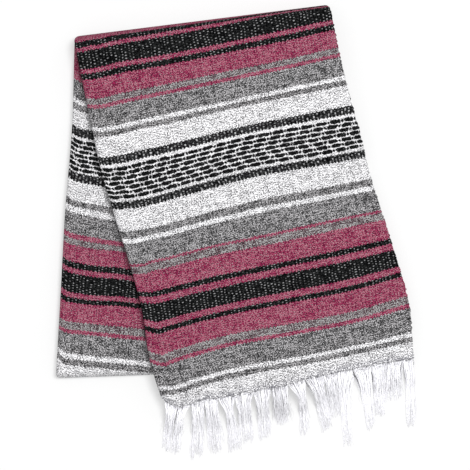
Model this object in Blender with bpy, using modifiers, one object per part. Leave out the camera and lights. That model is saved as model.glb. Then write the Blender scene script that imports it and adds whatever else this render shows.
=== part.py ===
"""A woven Mexican blanket (serape), folded into a strip, doubled and laid flat.

The blanket is folded lengthwise twice into a ribbon of four sheets. The ribbon is folded in
half, which makes the fold at the far end of the back leg, and then in half again, which makes
the fold at the top. The front leg lies askew on the back leg, and both fringed ends of the
blanket come out at its lower end. Each leg is two ribbons, one on the other.

Metres, +Z up. +Y points to the top fold and +X to the edge where the selvedges lie.
"""

import math

import bmesh
import bpy
import numpy as np
from mathutils import Vector

MM = 0.001

# The cloth and the stack it is folded into
CLOTH = 2.2 * MM
SEAM = 0.3 * MM
RIBBON = 8.0 * MM
LEG = 2 * RIBBON

# Folds: how far each one rounds in, seen from above
SIDE_FOLD = 6.0 * MM
TOP_FOLD = 11.0 * MM
END_FOLD = 8.0 * MM
SIDE_TUCK = math.radians(165)
TUCK_RISE = 0.6, 1.0
TOP_CORNER = 8.0 * MM
END_CORNER = 6.0 * MM
FOLD_FOOT = 1.3 * MM

# Where the front leg leaves the back leg it sinks to the table over this distance
SINK_START = 2.0 * MM
SINK_LENGTH = 60.0 * MM

# The lower ribbon's hem comes out past the upper one on the selvedge side
LOWER_HEM_OUT = 7.0 * MM
HEM_STEP = 0.4, 0.75

# Each leg at equal steps from its upper end to its lower end: its two edges, in millimetres
FRONT_LEG = (
    # left_x, left_y, right_x, right_y
    (-196.0, 240.8, 113.1, 279.5),
    (-185.1, 185.6, 122.8, 227.1),
    (-173.6, 130.3, 135.5, 174.8),
    (-161.5, 75.1, 150.0, 122.5),
    (-145.2, 20.0, 162.7, 70.2),
    (-128.0, -35.1, 179.7, 18.2),
    (-113.1, -90.5, 196.0, -34.5),
    (-104.7, -145.7, 209.9, -86.9),
    (-89.0, -200.9, 213.6, -139.2),
)
BACK_LEG = (
    # left_x, left_y, right_x, right_y
    (-195.0, 231.5, 111.9, 270.0),
    (-198.0, 130.1, 110.7, 159.7),
    (-206.3, 29.0, 105.9, 54.5),
    (-211.8, -71.4, 101.6, -54.5),
    (-217.7, -173.9, 97.4, -162.1),
)

# The hidden sheets of a leg, from the bottom up: at each height, how far the stack lies in
# from the leg's left fold, its right edge and its hem. A deep row is the slit between sheets.
SHEETS = (
    # height, left, right, hem
    (0.0, 4.5, 1.6, 1.6),
    (1.0, 1.7, 0.2, 0.3),
    (1.8, 0.8, 0.6, 0.7),
    (2.1, 0.6, 2.4, 2.4),
    (2.5, 0.4, 0.6, 0.7),
    (3.6, 0.0, 0.7, 0.7),
    (4.0, 0.0, 2.8, 2.6),
    (4.6, 0.1, 0.9, 0.9),
    (6.0, 0.7, 0.1, 0.2),
    (7.4, 2.3, 0.9, 0.9),
    (7.8, 4.6, 3.2, 3.0),
    (7.9, 6.4, 3.3, 3.1),
    (8.6, 6.4, 0.9, 1.1),
    (10.0, 6.4, 0.1, 0.4),
    (10.6, 6.3, 0.5, 0.7),
    (10.8, 4.8, 0.6, 0.8),
    (11.6, 3.0, 1.2, 1.2),
    (12.0, 2.8, 2.8, 2.6),
    (12.4, 3.0, 0.8, 0.9),
    (13.5, 5.2, 0.6, 0.8),
)
BETWEEN_RIBBONS = 7.85 * MM

# Tassels of the fringe, from left to right: where each leaves the hem as a share of it, how
# far its tip stands to the right of its root and below it, and its width, in millimetres
TASSELS = (
    # hem_share, lean, reach, width
    (0.044, -11.0, 62.0, 10.0),
    (0.086, -3.0, 61.0, 9.5),
    (0.144, -1.0, 75.0, 12.0),
    (0.190, 7.0, 74.0, 11.5),
    (0.250, 12.0, 72.0, 12.0),
    (0.324, 2.0, 63.0, 11.0),
    (0.392, 5.0, 67.0, 12.0),
    (0.472, 2.0, 52.0, 12.0),
    (0.532, 13.0, 61.0, 10.5),
    (0.604, 17.0, 69.0, 11.5),
    (0.672, 8.0, 58.0, 11.0),
    (0.728, 8.0, 90.0, 10.5),
    (0.800, 12.0, 80.0, 12.0),
    (0.864, 4.0, 66.0, 11.0),
    (0.924, 0.0, 54.0, 10.5),
    (0.974, 4.0, 78.0, 9.0),
)
STRANDS_A_TASSEL = 5
STRAND_STEPS = 5
STRAND_FILL = 0.74
STRIP_DEEP = 3.0 * MM
STRIP_START, STRIP_END = 0.022, 0.994
STRIP_LOW, STRIP_HIGH = 2.2 * MM, 6.6 * MM
ROOT_LOW, ROOT_HIGH = 3.2 * MM, 5.4 * MM
STRAND_CLEAR = 1.5 * MM
STRAND_LEAD, STRAND_FALL = 6.0 * MM, 34.0 * MM
STRAND_WAVE, STRAND_LIFT = 0.9 * MM, 0.5 * MM
PINCH, TIP_SPREAD = 0.72, 1.25
OUTER_SHORTER, UNEVEN_TIPS = 0.12, 0.05
TIP_FILL = 0.45

# Steps of the meshes
LEG_STEPS = 10
END_ZONE = 75.0 * MM
END_STEPS = 6
FLAT_COLUMNS = 4
SINK_COLUMNS = 6
INNER_START, INNER_END = 0.032, 0.985
CREASE_RANGE = 0.3, 0.92
FOLD_STEPS = 8
CURL_STEPS = (0.0, 0.04, 0.13, 0.28, 0.5, 0.75, 1.0, 1.8)
SQUEEZE_IN = 4.0 * MM
STACK_TOP_START, STACK_END_START = 6.5 * MM, 3.6 * MM
LENGTH_SAMPLES, CREASE_SAMPLES = 40, 200
SHARP_EDGE = math.radians(50)

MATERIALS = {
    # name: colour, roughness
    "striped_cloth": ((0.30, 0.12, 0.16, 1.0), 0.95),
    "inner_cloth": ((0.42, 0.40, 0.41, 1.0), 0.95),
    "fringe_yarn": ((0.84, 0.82, 0.87, 1.0), 0.9),
}


def step_between(low, high, value):
    """0 below low, 1 above high, and a smooth rise between them."""
    share = min(max((value - low) / (high - low), 0.0), 1.0)
    return share * share * (3 - 2 * share)


def table_row(table, share):
    """A smooth line through the rows of a table, read at a share of its length."""
    rows = np.array(table) * MM
    place = min(max(share, 0.0), 1.0) * (len(rows) - 1)
    start = min(int(place), len(rows) - 2)
    t = place - start
    first, last = rows[start], rows[start + 1]
    before = rows[start - 1] if start > 0 else 2 * first - last
    after = rows[start + 2] if start + 2 < len(rows) else 2 * last - first
    return 0.5 * (
        2 * first
        + (last - before) * t
        + (2 * before - 5 * first + 4 * last - after) * t**2
        + (3 * first - before - 3 * last + after) * t**3
    )


def leg_edges(table, share):
    left_x, left_y, right_x, right_y = table_row(table, share)
    return Vector((left_x, left_y)), Vector((right_x, right_y))


def leg_length(table):
    """The length of a leg along its middle."""
    middles = []
    for i in range(LENGTH_SAMPLES + 1):
        left, right = leg_edges(table, i / LENGTH_SAMPLES)
        middles.append((left + right) / 2)
    return sum((b - a).length for a, b in zip(middles, middles[1:]))


def past_right(point):
    """How far a point lies to the right of the back leg."""
    rows = np.array(BACK_LEG) * MM
    return point.x - np.interp(-point.y, -rows[:, 3], rows[:, 2])


def past_end(point):
    """How far a point lies below the back leg's lower end."""
    left_x, left_y, right_x, right_y = np.array(BACK_LEG[-1]) * MM
    return left_y + (right_y - left_y) * (point.x - left_x) / (right_x - left_x) - point.y


def under_front(point):
    """Height of the front leg's underside: it lies on the back leg and sinks beside it."""
    beyond = max(past_right(point), past_end(point))
    return (LEG + SEAM) * (1 - step_between(SINK_START, SINK_LENGTH, beyond))


def on_table(point):
    return 0.0


def rounding(distance, depth):
    """Share of the full height at this distance inside a fold's edge."""
    gone = 1 - min(max(distance / depth, 0.0), 1.0)
    return math.sqrt(1 - gone * gone)


def corner_cut(distance, radius):
    return radius * (1 - rounding(distance, radius))


def stations(table, curl):
    """Distances from a leg's end fold to its rows: close at the fold and at the far end."""
    length = leg_length(table)
    distances = [step * curl for step in CURL_STEPS]
    plain = (length - END_ZONE - distances[-1]) / LEG_STEPS
    distances += [distances[-1] + plain * (i + 1) for i in range(LEG_STEPS)]
    distances += [length - END_ZONE * (1 - (i + 1) / END_STEPS) for i in range(END_STEPS)]
    return distances


def edges_at(table, distance, curl_first):
    share = distance / leg_length(table)
    left, right = leg_edges(table, share if curl_first else 1 - share)
    return left, right, (right - left).normalized()


def columns(left, right):
    """Points across a row. A column runs where the leg starts to sink beside the back leg."""
    first, last = left.lerp(right, INNER_START), left.lerp(right, INNER_END)
    shares = [i / CREASE_SAMPLES for i in range(CREASE_SAMPLES + 1)]
    sinking = [s for s in shares if past_right(first.lerp(last, s)) > SINK_START / 4]
    crease = min(max(sinking[0] if sinking else 1.0, CREASE_RANGE[0]), CREASE_RANGE[1])
    flat = [crease * i / FLAT_COLUMNS for i in range(FLAT_COLUMNS)]
    sunk = [crease + (1 - crease) * i / SINK_COLUMNS for i in range(SINK_COLUMNS + 1)]
    return [first.lerp(last, s) for s in flat + sunk]


def grid_faces(bm, grid):
    for row, following in zip(grid, grid[1:]):
        for a, b, c, d in zip(row, row[1:], following[1:], following):
            bm.faces.new((a, b, c, d))


def finish_mesh(name, bm, material):
    bmesh.ops.recalc_face_normals(bm, faces=bm.faces)
    mesh = bpy.data.meshes.new(name)
    bm.to_mesh(mesh)
    bm.free()
    mesh.shade_smooth()
    mesh.set_sharp_from_angle(angle=SHARP_EDGE)
    obj = bpy.data.objects.new(name, mesh)
    obj.data.materials.append(material)
    return obj


def panel(name, table, base, curl, corner, curl_first, material):
    """The sheet of a leg that shows: over its end fold, round its left fold and along its
    top to the right edge. It is an open surface with the cloth's thickness inside it."""
    bm = bmesh.new()
    grid = []
    for distance in stations(table, curl):
        left, right, across = edges_at(table, distance, curl_first)
        middle = columns(left, right)
        cut = corner_cut(distance, corner)
        left, right = left + across * cut, right - across * cut
        rise = rounding(distance, curl)
        tuck = math.pi / 2 + (SIDE_TUCK - math.pi / 2) * step_between(*TUCK_RISE, rise)
        row = []
        for i in range(FOLD_STEPS):
            turn = tuck * (1 - i / FOLD_STEPS)
            plan = left + across * SIDE_FOLD * (1 - math.sin(turn))
            row.append((plan, LEG - RIBBON / 2 * (1 - math.cos(turn))))
        row.append((left + across * SIDE_FOLD, LEG))
        row += [(plan, LEG) for plan in middle[1:-1]]
        row.append((middle[-1] - across * cut, LEG))
        row.append((right, LEG))
        grid.append([
            bm.verts.new((p.x, p.y, FOLD_FOOT + (base(p) + z - FOLD_FOOT) * rise))
            for p, z in row
        ])
    grid_faces(bm, grid)
    obj = finish_mesh(name, bm, material)
    if obj.data.polygons[-1].normal.z < 0:
        obj.data.flip_normals()
    thick = obj.modifiers.new("cloth thickness", "SOLIDIFY")
    thick.thickness = CLOTH
    thick.offset = -1
    thick.use_quality_normals = True
    return obj


def stack(name, table, base, curl, start, hem_out, curl_first, ceiling, material):
    """The hidden sheets of a leg as one rounded solid, layered where its edges show. Near
    the fold it is pressed down to lie inside the sheet that goes round it."""
    depth = curl - CLOTH - 2 * SEAM
    distances = [distance for distance in stations(table, curl) if distance >= start]
    bm = bmesh.new()
    cells = []
    for distance in distances:
        left, right, across = edges_at(table, distance, curl_first)
        middle = columns(left, right)
        downward = Vector((across.y, -across.x))
        inside = distance - (curl - depth)
        squeeze = 1 - step_between(curl, curl + depth, distance)
        pressed = ceiling * rounding(inside, depth) - 2 * SEAM * squeeze
        at_hem = distance == distances[-1] and hem_out > 0
        block = []
        for height, left_in, right_in, hem_in in np.array(SHEETS) * MM:
            first = left + across * (left_in + squeeze * SQUEEZE_IN)
            last = right - across * (right_in + squeeze * SQUEEZE_IN / 2)
            row = []
            for plan in [first] + middle + [last]:
                if at_hem:
                    share_across = (plan - left).length / (right - left).length
                    plan = plan - downward * hem_in
                    if height < BETWEEN_RIBBONS:
                        plan = plan + downward * hem_out * step_between(*HEM_STEP, share_across)
                bottom = base(plan)
                top = bottom + SHEETS[-1][0] * MM
                limit = max(min(pressed, top), bottom + RIBBON / 4)
                z = bottom + height * (limit - bottom) / (top - bottom)
                row.append(bm.verts.new((plan.x, plan.y, z)))
            block.append(row)
        cells.append(block)
    grid_faces(bm, cells[0])
    grid_faces(bm, cells[-1])
    grid_faces(bm, [block[0] for block in cells])
    grid_faces(bm, [block[-1] for block in cells])
    grid_faces(bm, [[row[0] for row in block] for block in cells])
    grid_faces(bm, [[row[-1] for row in block] for block in cells])
    inner_points = [v for v in bm.verts if not v.link_faces]
    bmesh.ops.delete(bm, geom=inner_points, context="VERTS")
    return finish_mesh(name, bm, material)


def hem_point(share, out):
    """A point of the hem line, moved out from the cloth."""
    left, right = leg_edges(FRONT_LEG, 1.0)
    across = (right - left).normalized()
    return left.lerp(right, share) + Vector((across.y, -across.x)) * out


def strand_columns(tassels):
    """Shares of the hem where the strip's strands begin and end, with each one's tassel."""
    left, right = leg_edges(FRONT_LEG, 1.0)
    hem = (right - left).length
    columns = []
    for share, lean, reach, width in tassels:
        pitch = width * MM / STRANDS_A_TASSEL
        for i in range(STRANDS_A_TASSEL):
            place = (i + 0.5) / STRANDS_A_TASSEL - 0.5
            middle = share + place * width * MM / hem
            half = pitch * STRAND_FILL / 2 / hem
            columns.append((middle - half, middle + half, place, lean, reach, width))
    return columns


def strand_rings(bm, root, place, lean, reach, width, turn):
    """Grows one four-sided strand from the strip's face, down to the table and along it.
    The strands of a tassel draw together below the hem and spread again at their tips."""
    start = sum((v.co for v in root), Vector()) / 4
    size = (root[0].co - root[1].co).length, (root[0].co - root[3].co).length
    uneven = OUTER_SHORTER * 2 * abs(place) - UNEVEN_TIPS * math.sin(turn * 2.4)
    reach = reach * (1 - uneven) * MM
    path = []
    for step in range(1, STRAND_STEPS + 1):
        t = step / STRAND_STEPS
        spread = (PINCH - 1 + (TIP_SPREAD - PINCH) * t) * math.sin(math.pi * t / 2)
        wave = STRAND_WAVE * math.sin(turn + 3 * t)
        x = start.x + (lean * t + place * width * spread) * MM + wave
        y = start.y - reach * t
        down = step_between(STRAND_LEAD, STRAND_FALL, reach * t)
        clear = STRAND_CLEAR + STRAND_LIFT * (1 + math.sin(turn * 1.7))
        path.append(Vector((x, y, start.z + (clear - start.z) * down)))
    ring = root
    before = start
    for step, centre in enumerate(path, 1):
        t = step / STRAND_STEPS
        ahead = path[min(step, STRAND_STEPS - 1)] - before
        side = Vector((0, 0, 1)).cross(ahead).normalized()
        up = ahead.cross(side).normalized()
        fill = 1 - (1 - TIP_FILL) * t
        wide = side * size[0] / 2 * fill
        high = up * size[1] / 2 * fill
        corners = (centre - wide - high, centre + wide - high, centre + wide + high, centre - wide + high)
        following = [bm.verts.new(corner) for corner in corners]
        for a in range(4):
            b = (a + 1) % 4
            bm.faces.new((ring[a], ring[b], following[b], following[a]))
        ring, before = following, centre
    bm.faces.new(ring)


def fringe(name, tassels, ribbon_foot, hem_out, material):
    """A narrow strip along the hem, parted from it, that all the strands grow from."""
    columns = strand_columns(tassels)
    starts_and_ends = [edge for column in columns for edge in column[:2]]
    cuts = [STRIP_START] + starts_and_ends + [STRIP_END]
    bm = bmesh.new()
    sections = []
    for share in cuts:
        out = 2 * SEAM + hem_out * step_between(*HEM_STEP, share)
        inner = hem_point(share, out)
        outer = hem_point(share, out + STRIP_DEEP)
        foot = under_front(inner) + ribbon_foot
        heights = (STRIP_LOW, ROOT_LOW, ROOT_HIGH, STRIP_HIGH)
        section = [bm.verts.new((outer.x, outer.y, foot + height)) for height in heights]
        section.append(bm.verts.new((inner.x, inner.y, foot + STRIP_HIGH)))
        section.append(bm.verts.new((inner.x, inner.y, foot + STRIP_LOW)))
        sections.append(section)
    for number, (here, following) in enumerate(zip(sections, sections[1:])):
        for a in range(6):
            b = (a + 1) % 6
            quad = (here[a], following[a], following[b], here[b])
            strand = a == 1 and number % 2 == 1
            if strand:
                _, _, place, lean, reach, width = columns[number // 2]
                strand_rings(bm, quad, place, lean, reach, width, 1.3 * number)
            else:
                bm.faces.new(quad)
    bm.faces.new(sections[0])
    bm.faces.new(sections[-1])
    return finish_mesh(name, bm, material)


def make_material(name):
    colour, roughness = MATERIALS[name]
    material = bpy.data.materials.new(name)
    material.use_nodes = True
    shader = material.node_tree.nodes["Principled BSDF"]
    shader.inputs["Base Color"].default_value = colour
    shader.inputs["Roughness"].default_value = roughness
    shader.inputs["Metallic"].default_value = 0.0
    return material


def build():
    for obj in list(bpy.data.objects):
        bpy.data.objects.remove(obj, do_unlink=True)
    collection = bpy.data.collections.new("folded_serape")
    bpy.context.scene.collection.children.link(collection)
    cloth = make_material("striped_cloth")
    inner = make_material("inner_cloth")
    yarn = make_material("fringe_yarn")

    top_inside = 2 * LEG - CLOTH
    leg_inside = LEG - CLOTH - SEAM
    pieces = [
        panel("front_panel", FRONT_LEG, under_front, TOP_FOLD, TOP_CORNER, True, cloth),
        stack("front_layers", FRONT_LEG, under_front, TOP_FOLD, STACK_TOP_START,
              LOWER_HEM_OUT, True, top_inside, inner),
        panel("back_panel", BACK_LEG, on_table, END_FOLD, END_CORNER, False, cloth),
        stack("back_layers", BACK_LEG, on_table, END_FOLD, STACK_END_START,
              0.0, False, leg_inside, inner),
        fringe("fringe_upper", TASSELS[0::2], RIBBON, 0.0, yarn),
        fringe("fringe_lower", TASSELS[1::2], 0.0, LOWER_HEM_OUT, yarn),
    ]
    stand = bpy.data.objects.new("serape_origin", None)
    collection.objects.link(stand)
    for obj in pieces:
        collection.objects.link(obj)
        obj.parent = stand

    corners = np.array([v.co for obj in pieces for v in obj.data.vertices])
    middle = (corners.min(axis=0) + corners.max(axis=0)) / 2
    stand.location = (-middle[0], -middle[1], 0.0)
    bpy.context.view_layer.update()
    size = corners.max(axis=0) - corners.min(axis=0)
    print("folded size in millimetres:", [round(side / MM, 1) for side in size])
    print("moved to the middle by:", [round(side / MM, 2) for side in stand.location])


build()
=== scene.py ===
# %% [markdown]
# A falsa blanket is the plain, heavy cousin of the Mexican serape: recycled yarn woven on a wide
# loom in bands of black, grey, white and one bright colour, with a chevron of short black dashes
# every hand's length and the warp left long as a fringe at both ends. This one is folded into a
# ribbon of four sheets, doubled twice and laid flat, so two legs show: the front leg with the
# fringe, askew on the back leg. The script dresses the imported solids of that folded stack.

# %% Load the frame
import math

import bpy
import numpy as np
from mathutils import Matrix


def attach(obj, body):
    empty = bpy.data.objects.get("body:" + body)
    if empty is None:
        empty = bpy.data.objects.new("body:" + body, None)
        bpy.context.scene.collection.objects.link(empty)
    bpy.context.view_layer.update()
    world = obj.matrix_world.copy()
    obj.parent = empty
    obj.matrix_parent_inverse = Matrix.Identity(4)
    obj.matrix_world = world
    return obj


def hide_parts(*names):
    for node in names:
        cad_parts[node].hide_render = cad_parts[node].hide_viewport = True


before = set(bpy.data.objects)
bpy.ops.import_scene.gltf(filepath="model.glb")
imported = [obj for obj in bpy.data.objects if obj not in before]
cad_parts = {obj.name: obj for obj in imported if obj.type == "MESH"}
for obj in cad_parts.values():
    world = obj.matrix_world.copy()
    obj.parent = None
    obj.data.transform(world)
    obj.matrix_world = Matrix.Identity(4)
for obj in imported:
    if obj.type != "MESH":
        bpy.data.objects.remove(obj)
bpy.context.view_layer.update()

MM = 0.001
print("solids to dress:", sorted(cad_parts))

# %% [markdown]
# The camera comes first. The blanket lies on a white table and is seen from straight above. A
# phone held over it would widen what is nearer, so a long lens far away is used: over four metres
# up, 32 mm of folded cloth changes its size by less than one part in a hundred. The frame is
# square, and one of its 470 pixels is 1.21 mm on the cloth.

# %% Camera over the cloth
PIXEL = 1.21 * MM
FRAME_SIDE = 470 * PIXEL
CLOTH_TOP = 16 * MM
CAMERA_UP = 4.4
SENSOR = 36.0
FRAME_MIDDLE = (0.17 * MM, -3.38 * MM)

scene = bpy.context.scene
camera_data = bpy.data.cameras.new("camera_above")
camera_data.sensor_width = SENSOR
camera_data.lens = SENSOR * CAMERA_UP / FRAME_SIDE
camera_data.clip_start, camera_data.clip_end = 0.1, 30.0
camera = bpy.data.objects.new("camera_above", camera_data)
camera.location = (*FRAME_MIDDLE, CLOTH_TOP + CAMERA_UP)
scene.collection.objects.link(camera)
scene.camera = camera
print("lens in millimetres:", round(camera_data.lens))

# %% [markdown]
# The form comes from the same few tables as the solids. A leg is a strip between two edges, given
# by its corners at equal steps, and a smooth line (a Catmull-Rom curve) runs through them. Working
# the surface out from edges keeps every thread direction known, which the weave needs later, and
# numpy works out all points of a sheet at once.

# %% The edges of the two legs
FRONT_LEG = (
    # left_x, left_y, right_x, right_y
    (-196.0, 240.8, 113.1, 279.5),
    (-185.1, 185.6, 122.8, 227.1),
    (-173.6, 130.3, 135.5, 174.8),
    (-161.5, 75.1, 150.0, 122.5),
    (-145.2, 20.0, 162.7, 70.2),
    (-128.0, -35.1, 179.7, 18.2),
    (-113.1, -90.5, 196.0, -34.5),
    (-104.7, -145.7, 209.9, -86.9),
    (-89.0, -200.9, 213.6, -139.2),
)
BACK_LEG = (
    # left_x, left_y, right_x, right_y
    (-195.0, 231.5, 111.9, 270.0),
    (-198.0, 130.1, 110.7, 159.7),
    (-206.3, 29.0, 105.9, 54.5),
    (-211.8, -71.4, 101.6, -54.5),
    (-217.7, -173.9, 97.4, -162.1),
)
MIDDLE_MOVED = np.array((0.77, -3.38)) * MM

CLOTH, SEAM = 2.2 * MM, 0.3 * MM
RIBBON, LEG = 8.0 * MM, 16.0 * MM
SIDE_FOLD, TOP_FOLD, END_FOLD = 6.0 * MM, 11.0 * MM, 8.0 * MM
SIDE_TUCK, TUCK_RISE = math.radians(165), (0.6, 1.0)
TOP_CORNER, END_CORNER, FOLD_FOOT = 8.0 * MM, 6.0 * MM, 1.3 * MM
SINK_START, SINK_LENGTH = 2.0 * MM, 60.0 * MM

# an uneven line is a sum of waves, each one shorter and fainter than the one before it
FULL_TURN = 6.28
WAVES, SHORTER, FAINTER, WAVE_SUM = 4, 1.9, 0.75, 2.2
WAVE_DRIFT = 0.85, 1.15


def step_between(low, high, value):
    """0 below low, 1 above high, and a smooth rise between them."""
    share = np.clip((value - low) / (high - low), 0.0, 1.0)
    return share * share * (3 - 2 * share)


def wander(place, seed, wave):
    """An uneven line between -1 and 1 along one direction, the same at each run."""
    pick = np.random.default_rng(seed)
    total = np.zeros(np.shape(place))
    for octave in range(WAVES):
        length = wave / SHORTER**octave
        turn, drift = pick.uniform(0, FULL_TURN), pick.uniform(*WAVE_DRIFT)
        total += FAINTER**octave * np.sin(FULL_TURN * np.asarray(place) / (length * drift) + turn)
    return total / WAVE_SUM


def edges(table, share):
    """The left and right edge of a leg at these shares of its length."""
    rows = np.array(table) * MM
    place = np.clip(share, 0.0, 1.0) * (len(rows) - 1)
    start = np.minimum(place.astype(int), len(rows) - 2)
    t = (place - start)[..., None]
    padded = np.vstack((2 * rows[0] - rows[1], rows, 2 * rows[-1] - rows[-2]))
    before, first, last, after = (padded[start + i] for i in range(4))
    line = 0.5 * (
        2 * first
        + (last - before) * t
        + (2 * before - 5 * first + 4 * last - after) * t**2
        + (3 * first - before - 3 * last + after) * t**3
    )
    return line[..., :2], line[..., 2:]


def leg_length(table):
    left, right = edges(table, np.linspace(0, 1, 41))
    middle = (left + right) / 2
    return float(np.linalg.norm(np.diff(middle, axis=0), axis=1).sum())


def rows_of(table, rows, fold_first):
    """The left end, the direction and the width of a leg at these distances along it."""
    share = rows / leg_length(table)
    left, right = edges(table, share if fold_first else 1 - share)
    across = right - left
    width = np.linalg.norm(across, axis=1, keepdims=True)
    return left[:, None, :], (across / width)[:, None, :], width


def raised(plan, height):
    """Points of the plan with their heights."""
    return np.concatenate((plan, height[..., None]), axis=-1)


print("front leg", round(leg_length(FRONT_LEG) / MM), "mm, back leg",
      round(leg_length(BACK_LEG) / MM), "mm")

# %% The hem of the front leg
HEM_SHARE = (0.0, 0.04, 0.07, 0.12, 0.18, 0.21, 0.25, 0.28, 0.32, 0.35, 0.40, 0.45, 0.54, 0.59,
             0.71, 0.79, 0.89, 1.0)
HEM_DROP = (-4.0, 6.5, 11.0, 9.0, 7.0, 9.3, 8.4, 10.5, 8.0, 10.6, 9.0, 10.6, 8.8, 6.8,
            7.2, 7.5, 8.0, 10.0)
LOWER_HEM_OUT, HEM_STEP = 8.0, (0.50, 0.72)
HEM_WAVER, HEM_WAVE = 0.6, 13 * MM
HEM_RISE = 26.0 * MM

hem_left, hem_right = (np.array(side) for side in edges(FRONT_LEG, np.array(1.0)))
hem_length = np.linalg.norm(hem_right - hem_left)
hem_across = (hem_right - hem_left) / hem_length
hem_down = np.array((hem_across[1], -hem_across[0]))


def hem_out(share, lower):
    """How far the hem hangs past the leg's last row. The lower ribbon's hem shows at the right."""
    out = np.interp(share, HEM_SHARE, HEM_DROP) + HEM_WAVER * wander(share * hem_length, 5, HEM_WAVE)
    return (out + lower * LOWER_HEM_OUT * step_between(*HEM_STEP, share)) * MM


def hang_hem(plan, rows, out):
    """Lets the last rows of a leg run on to its uneven hem."""
    reach = step_between(rows[-1] - HEM_RISE, rows[-1], rows)[:, None]
    return plan + hem_down * (reach * out)[..., None]


print("hem", round(hem_length / MM), "mm long, falling", hem_across.round(2))

# %% The height that the front leg rests at
def past_right(plan):
    rows = np.array(BACK_LEG) * MM
    return plan[..., 0] - np.interp(-plan[..., 1], -rows[:, 3], rows[:, 2])


def past_end(plan):
    left_x, left_y, right_x, right_y = np.array(BACK_LEG[-1]) * MM
    slope = (right_y - left_y) / (right_x - left_x)
    return left_y + slope * (plan[..., 0] - left_x) - plan[..., 1]


def under_front(plan):
    """The front leg lies on the back leg and sinks to the table beside it."""
    beyond = np.maximum(past_right(plan), past_end(plan))
    return (LEG + SEAM) * (1 - step_between(SINK_START, SINK_LENGTH, beyond))


def on_table(plan):
    return np.zeros(plan.shape[:-1])


def rounding(distance, depth):
    """Share of the full height at this distance inside a fold's edge."""
    gone = 1 - np.clip(distance / depth, 0.0, 1.0)
    return np.sqrt(1 - gone * gone)


# %% [markdown]
# No cloth lies dead flat. Soft troughs and ridges are set where the folded blanket shows
# or would have them: along the folds, across the corner that sinks beside the back leg, and
# where a stack of sheets pushes up a thickness step. Each is a smooth stroke with a length, a
# width and a depth of its own. A noise texture could do this, but it would spread the same
# wobble everywhere, and folded cloth is uneven in a more particular way.

# %% Creases
FRONT_CREASES = (
    # x, y of the middle, heading in degrees, half length, half width, height, millimetres
    (-168, 160, -78, 60, 6, -0.9),
    (-150, 70, -74, 75, 7, -1.1),
    (-122, -40, -73, 60, 6, -0.8),
    (-98, -140, -76, 55, 7, -1.2),
    (-60, 215, 12, 70, 8, -0.6),
    (45, 240, 10, 60, 9, 0.7),
    (98, 190, -74, 70, 8, -0.9),
    (120, 60, -76, 55, 9, 0.8),
    (60, 110, 20, 90, 14, 0.5),
    (-20, 30, 16, 110, 12, -0.5),
    (20, -60, 9, 80, 12, 0.6),
    (150, -20, -50, 60, 10, -0.9),
    (170, -95, -66, 45, 8, 0.8),
    (100, -110, 14, 60, 9, -0.7),
    (-30, -150, 12, 55, 8, 0.7),
    (-70, -90, 30, 40, 9, 0.6),
)
BACK_CREASES = (
    # x, y of the middle, heading in degrees, half length, half width, height, millimetres
    (-188, 110, -92, 60, 5, -0.8),
    (-196, 20, -94, 55, 5, -0.9),
    (-200, -80, -93, 70, 6, -1.0),
    (-165, -120, -6, 45, 6, -0.8),
    (-190, -150, 30, 28, 5, 0.7),
    (-135, -160, -4, 40, 5, -0.7),
    (-180, -30, 14, 30, 6, 0.5),
)


CREASE_BEND, BEND_TURNS = 0.12, 1.7


def crease_height(plan, creases):
    """The sum of the strokes at these points of the plan. Each stroke is bent a little."""
    total = np.zeros(plan.shape[:-1])
    for x, y, heading, half_long, half_wide, height in creases:
        turn = math.radians(heading)
        away = plan - np.array((x, y)) * MM
        along = away[..., 0] * math.cos(turn) + away[..., 1] * math.sin(turn)
        aside = away[..., 1] * math.cos(turn) - away[..., 0] * math.sin(turn)
        aside = aside - CREASE_BEND * along * np.sin(along / (half_long * MM) * BEND_TURNS)
        fade = np.exp(-((along / (half_long * MM)) ** 2))
        total += height * MM * fade * np.exp(-((aside / (half_wide * MM)) ** 2))
    return total


print("creases:", len(FRONT_CREASES), "on the front leg,", len(BACK_CREASES), "on the back leg")

# %% [markdown]
# The order of the stripes is the design. The weaver beats a set of picks of each yarn, mirrored
# about the ornament, and no two bands come out the same width. So the bands are a table of
# yarn and width, read down the leg as it lies. Stripes are made in the shader from one
# coordinate, the distance along the warp, which each sheet carries as an attribute.

# %% Stripes down each leg
FRONT_STRIPES = (
    # yarn, width in millimetres
    ("grey", 24.0), ("pink", 4.7), ("silver", 8.3), ("pink", 20.0), ("black", 6.5),
    ("pink", 4.7), ("black", 20.1), ("pink", 4.7), ("black", 7.1), ("pink", 20.7),
    ("silver", 8.3), ("pink", 5.0), ("grey", 22.5), ("white", 4.7), ("grey", 7.0),
    ("white", 23.4), ("border", 9.1), ("ornament", 43.9), ("border", 10.0),
    ("white", 28.3), ("grey", 8.3), ("white", 6.1), ("grey", 27.2), ("pink", 3.7),
    ("silver", 8.0), ("pink", 23.9), ("black", 6.2), ("pink", 7.9), ("black", 21.6),
    ("pink", 7.7), ("black", 6.5), ("pink", 24.5), ("silver", 8.6), ("pink", 5.2),
    ("grey", 26.3), ("white", 4.7), ("grey", 7.0), ("white", 60.0),
)
FRONT_START = -38.7
BACK_STRIPES = (
    # yarn, width in millimetres
    ("grey", 22.0), ("pink", 38.5), ("grey", 21.5), ("white", 6.4), ("grey", 7.2),
    ("white", 21.1), ("border", 10.2), ("ornament", 43.9), ("border", 9.4),
    ("white", 24.2), ("grey", 7.6), ("white", 8.0), ("grey", 25.4), ("pink", 6.3),
    ("silver", 7.3), ("pink", 20.4), ("black", 7.7), ("pink", 5.1), ("black", 23.1),
    ("pink", 7.2), ("black", 6.5), ("pink", 22.9), ("silver", 8.5), ("pink", 5.4),
    ("grey", 24.1), ("white", 6.5), ("grey", 7.3), ("white", 60.0),
)
BACK_START = 38.0
STRIPE_SLOPE = 0.22
STRIPE_ACROSS = 1 / math.hypot(1, STRIPE_SLOPE)
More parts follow.
